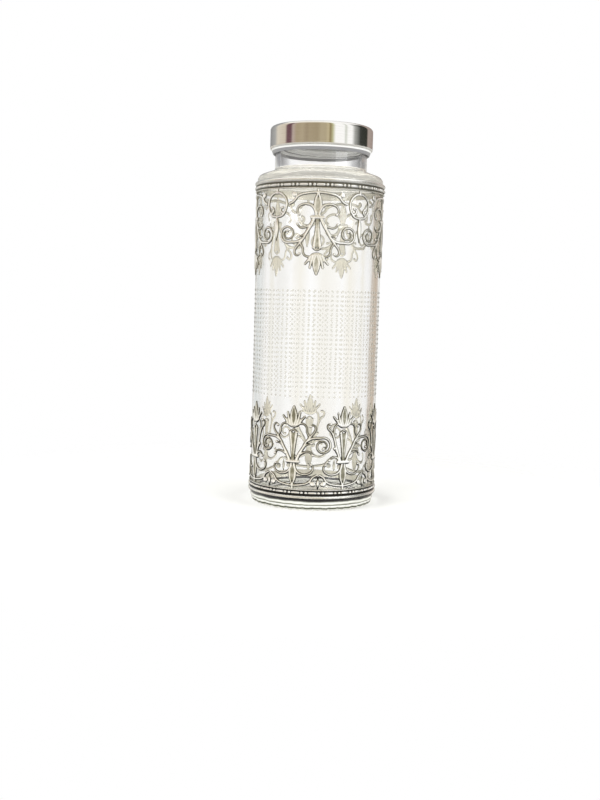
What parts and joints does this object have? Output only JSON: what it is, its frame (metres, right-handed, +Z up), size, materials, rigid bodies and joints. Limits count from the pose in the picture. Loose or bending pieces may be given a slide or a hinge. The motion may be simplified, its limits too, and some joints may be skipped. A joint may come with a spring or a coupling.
{
  "type": "rosewater sprinkler",
  "caption": "Clear glass sprinkler bottle with a screw cap over a pierced plate, dressed with two bands of openwork metal flowers and scrolls.",
  "frame": {"origin": "middle of the foot, on the surface that the bottle stands on", "axes": "+Z up along the bottle's axis, -Y towards the front, where a flower of the upper band stands"},
  "size_m": [0.0622, 0.0622, 0.1793],
  "materials": {
    "bottle_glass": "clear pressed soda-lime glass, polished",
    "cap_steel": "drawn stainless steel, brushed finely round the side",
    "liner_plastic": "moulded grey polypropylene, satin",
    "seal_rubber": "pale food grade silicone, matt",
    "plate_steel": "pressed stainless steel, satin",
    "silver_plate": "silver plated white metal, polished, with darkened hollows"
  },
  "bodies": {
    "bottle": {"glass_bottle": "bottle_glass", "sprinkler_plate": "plate_steel", "plug_ring": "seal_rubber", "lower_rail": "silver_plate", "upper_rail": "silver_plate", "lower_bead_wire": "silver_plate", "upper_bead_wire": "silver_plate", "lower_drops": "silver_plate", "upper_drop": "silver_plate", "lower_flower_1": "silver_plate", "lower_flower_2": "silver_plate", "lower_flower_3": "silver_plate", "lower_flower_4": "silver_plate", "lower_flower_5": "silver_plate", "lower_flower_6": "silver_plate", "lower_flower_7": "silver_plate", "upper_flower_1": "silver_plate", "upper_flower_2": "silver_plate", "upper_flower_3": "silver_plate", "upper_flower_4": "silver_plate", "upper_flower_5": "silver_plate", "upper_link_1": "silver_plate", "upper_link_2": "silver_plate", "upper_link_3": "silver_plate", "upper_link_4": "silver_plate"},
    "cap_lift": {"cap_seal": "seal_rubber"},
    "cap": {"cap_shell": "cap_steel", "cap_liner": "liner_plastic"}
  },
  "joints": [
    {"name": "cap_rise", "type": "slide", "parent": "bottle", "child": "cap_lift", "axis": [0, 0, 1], "range_m": [0, 0.0127]},
    {"name": "cap_turn", "type": "hinge", "parent": "cap_lift", "child": "cap", "pos_m": [0, 0, 0.17], "axis": [0, 0, 1], "range_deg": [0, 1080]}
  ],
  "couplings": [
    {"joint": "cap_rise", "follows": "cap_turn", "m_per_rad": 0.00066845}
  ]
}
